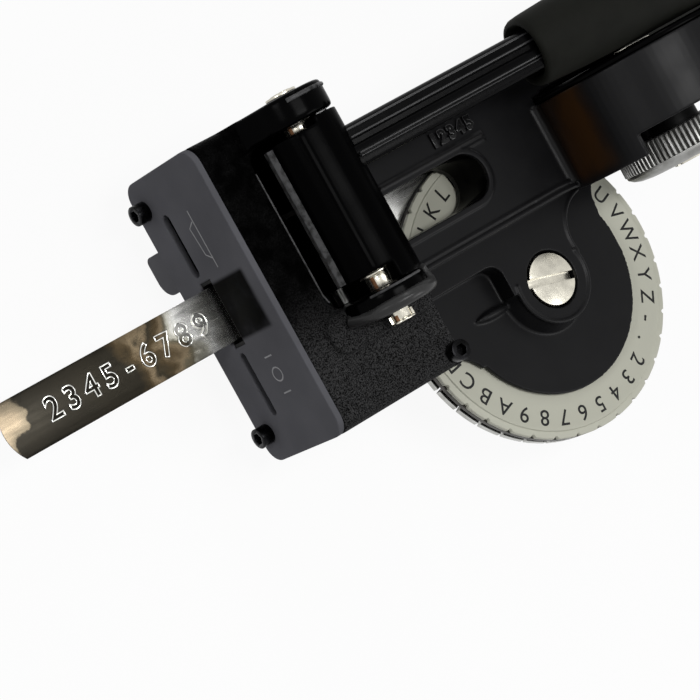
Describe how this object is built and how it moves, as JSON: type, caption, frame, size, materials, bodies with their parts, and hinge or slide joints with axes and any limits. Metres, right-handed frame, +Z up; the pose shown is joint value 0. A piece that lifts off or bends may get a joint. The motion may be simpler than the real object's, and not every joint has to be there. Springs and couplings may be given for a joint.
{
  "type": "embossing label maker",
  "caption": "Hand-held embossing label maker with a character dial, squeeze lever, tape magazine and cutter head.",
  "frame": {"origin": "on the resting plane, directly below the axis of the character dial", "axes": "+X from the head towards the handles, +Y across the tool to the lever side, +Z up"},
  "size_m": [0.273, 0.0988, 0.1016],
  "materials": {
    "black_paint": "semi-gloss",
    "wrinkle_paint": "wrinkle",
    "grey_paint": "satin",
    "black_plastic": "matt",
    "black_screw": "black oxide",
    "rubber": "matt",
    "nickel": "polished",
    "brass": "aged",
    "dial_enamel": "satin",
    "dark_steel": "satin",
    "bright_steel": "satin",
    "steel": "satin",
    "grip_rubber": "matt",
    "aluminium": "satin"
  },
  "bodies": {
    "frame": {"main_frame": "black_paint", "base_casting": "black_paint", "head_block": "wrinkle_paint", "front_plate": "grey_paint", "exit_guide": "black_plastic", "front_screws": "black_screw", "pad_screw": "black_screw", "base_screws": "black_screw", "base_pad": "rubber", "axle_screw": "nickel", "axle_sleeve": "brass", "detent_ball": "bright_steel", "detent_spring": "bright_steel", "anvil": "steel", "handle_grip": "grip_rubber", "pivot_pin": "brass", "pin_clips": "nickel", "pivot_bushes": "steel", "return_spring": "bright_steel", "cutter_dies": "steel", "tape_lead": "aluminium", "tape_guide": "black_plastic", "roller_axles": "steel", "reel_spindle": "nickel", "magazine_cover": "black_paint", "spindle_nut": "nickel"},
    "lever": {"lever": "black_paint", "lever_grip": "grip_rubber"},
    "press_bar": {"press_bar": "dark_steel"},
    "press_ram": {"press_ram": "steel"},
    "cutters": {"cutter_yoke": "dark_steel", "trim_blade": "bright_steel", "hole_punch": "bright_steel"},
    "dial": {"letter_dial": "dial_enamel", "upper_die_disc": "dark_steel", "lower_die_disc": "bright_steel", "dial_hub": "steel"},
    "reel": {"tape_coil": "aluminium", "reel_hub": "black_plastic", "knurled_wheel": "nickel"},
    "tape": {"tape_strip": "aluminium"},
    "feed_roller": {"feed_roller": "rubber"},
    "press_roller": {"press_roller": "steel"},
    "selector": {"mode_selector": "grey_paint"}
  },
  "joints": [
    {"name": "lever_squeeze", "type": "hinge", "parent": "frame", "child": "lever", "pos_m": [-0.0512, 0.029, 0.051], "axis": [0, 1, 0], "range_deg": [0, 11], "stiffness_Nm_per_rad": 2, "springref_deg": -17.19, "deforming": ["return_spring"]},
    {"name": "press_bar_draw", "type": "slide", "parent": "frame", "child": "press_bar", "axis": [-1, 0, 0], "range_m": [0, 0.00318]},
    {"name": "ram_press", "type": "slide", "parent": "frame", "child": "press_ram", "axis": [0, 0, -1], "range_m": [0, 0.00071]},
    {"name": "cutter_lift", "type": "slide", "parent": "frame", "child": "cutters", "axis": [0, 0, 1], "range_m": [0, 0.00197]},
    {"name": "dial_turn", "type": "hinge", "parent": "frame", "child": "dial", "pos_m": [0, 0, 0.027], "axis": [0, 0, 1], "continuous": true},
    {"name": "reel_turn", "type": "hinge", "parent": "frame", "child": "reel", "pos_m": [0.037, 0.029, 0.052], "axis": [0, 1, 0], "continuous": true},
    {"name": "tape_feed", "type": "slide", "parent": "frame", "child": "tape", "axis": [-1, 0, 0], "range_m": [0, 0.005]},
    {"name": "feed_roller_turn", "type": "hinge", "parent": "frame", "child": "feed_roller", "pos_m": [-0.047, 0.029, 0.01985], "axis": [0, 1, 0], "range_deg": [-80, 0]},
    {"name": "press_roller_turn", "type": "hinge", "parent": "frame", "child": "press_roller", "pos_m": [-0.047, 0.029, 0.02715], "axis": [0, 1, 0], "range_deg": [0, 80]},
    {"name": "selector_shift", "type": "slide", "parent": "frame", "child": "selector", "axis": [0, 1, 0], "range_m": [-0.004, 0.004]}
  ],
  "couplings": [
    {"joint": "press_bar_draw", "follows": "lever_squeeze", "m_per_rad": 0.0165},
    {"joint": "ram_press", "follows": "lever_squeeze", "m_per_rad": 0.0036461},
    {"joint": "cutter_lift", "follows": "lever_squeeze", "m_per_rad": 0.0102},
    {"joint": "feed_roller_turn", "follows": "tape_feed", "rad_per_m": -273.97},
    {"joint": "press_roller_turn", "follows": "tape_feed", "rad_per_m": 273.97}
  ]
}
